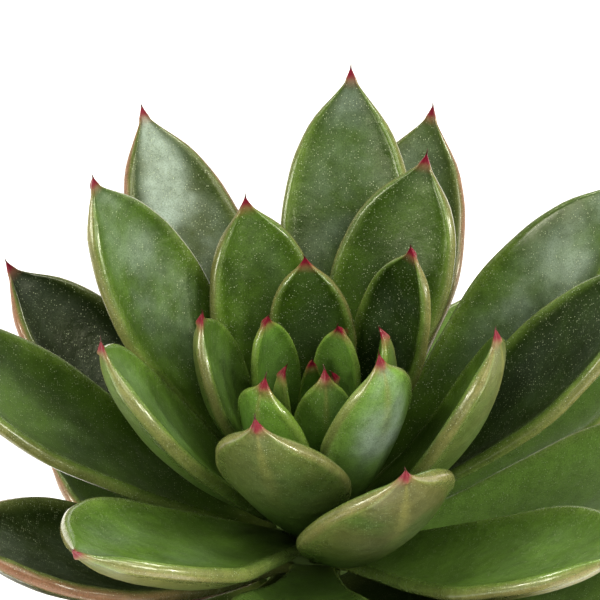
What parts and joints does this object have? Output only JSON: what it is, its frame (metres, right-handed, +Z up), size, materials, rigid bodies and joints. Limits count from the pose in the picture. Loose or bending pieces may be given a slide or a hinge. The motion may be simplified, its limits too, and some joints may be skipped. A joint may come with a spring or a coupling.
{
  "type": "potted succulent",
  "caption": "Rosette succulent with thick pointed green leaves, tipped and edged with red, growing on a short stem in a round tapered clay pot with a rim band.",
  "frame": {"origin": "centre of the plant's spread, at the flat underside of the pot, on the pot's axis", "axes": "+Z up out of the pot through the bud; +X and +Y level, with the heart of the rosette open toward -Y"},
  "size_m": [0.1562, 0.1609, 0.1791],
  "materials": {
    "clay": "matte",
    "potting_mix": "matte",
    "stem": "matte",
    "young_leaf": "satin",
    "mature_leaf": "satin",
    "old_leaf": "satin"
  },
  "bodies": {
    "root": {"pot": "clay", "soil": "potting_mix", "stem": "stem", "leaf_01": "young_leaf", "leaf_02": "young_leaf", "leaf_03": "young_leaf", "leaf_04": "young_leaf", "leaf_05": "young_leaf", "leaf_06": "young_leaf", "leaf_07": "young_leaf", "leaf_08": "young_leaf", "leaf_09": "young_leaf", "leaf_10": "young_leaf", "leaf_11": "young_leaf", "leaf_12": "young_leaf", "leaf_13": "mature_leaf", "leaf_14": "mature_leaf", "leaf_15": "mature_leaf", "leaf_16": "mature_leaf", "leaf_17": "mature_leaf", "leaf_18": "mature_leaf", "leaf_19": "mature_leaf", "leaf_20": "mature_leaf", "leaf_21": "mature_leaf", "leaf_22": "mature_leaf", "leaf_23": "mature_leaf", "leaf_24": "mature_leaf", "leaf_25": "mature_leaf", "leaf_26": "mature_leaf", "leaf_27": "mature_leaf", "leaf_28": "mature_leaf", "leaf_29": "mature_leaf", "leaf_30": "mature_leaf", "leaf_31": "old_leaf", "leaf_32": "old_leaf", "leaf_33": "old_leaf", "leaf_34": "old_leaf", "leaf_35": "old_leaf", "leaf_36": "old_leaf", "leaf_37": "old_leaf", "leaf_38": "old_leaf", "leaf_39": "old_leaf", "leaf_40": "old_leaf", "leaf_41": "old_leaf", "leaf_42": "old_leaf", "leaf_43": "old_leaf", "leaf_44": "old_leaf", "leaf_45": "old_leaf", "leaf_46": "old_leaf", "leaf_47": "old_leaf", "leaf_48": "old_leaf"}
  },
  "joints": []
}
